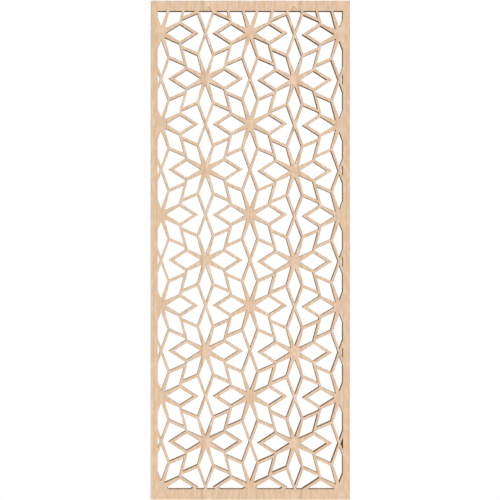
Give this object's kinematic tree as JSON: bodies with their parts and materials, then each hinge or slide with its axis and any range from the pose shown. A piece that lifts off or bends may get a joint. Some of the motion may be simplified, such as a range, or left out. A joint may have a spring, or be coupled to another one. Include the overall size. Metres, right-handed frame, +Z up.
{
  "type": "fretwork panel",
  "caption": "Tall flat plywood panel whose plain border frames a see-through lattice of pointed stars, for screens, room dividers and wall fronts.",
  "frame": {"origin": "middle of the panel's bottom edge, half way through the board", "axes": "+Z up the panel, +X across it to the right as seen from the front, +Y through the board from the show face to the back"},
  "size_m": [0.594, 0.0094, 1.487],
  "materials": {
    "face_veneer": "sanded, unfinished decorative veneer with upright grain",
    "long_ply": "core ply with upright grain, edges browned by the cut",
    "cross_ply": "core ply with its grain across the panel, edges browned by the cut",
    "back_veneer": "sanded, unfinished veneer with upright grain"
  },
  "bodies": {
    "root": {"face_veneer": "face_veneer", "core_ply_1": "cross_ply", "core_ply_2": "long_ply", "core_ply_3": "cross_ply", "core_ply_4": "long_ply", "core_ply_5": "cross_ply", "core_ply_6": "long_ply", "core_ply_7": "cross_ply", "back_veneer": "back_veneer"}
  },
  "joints": []
}
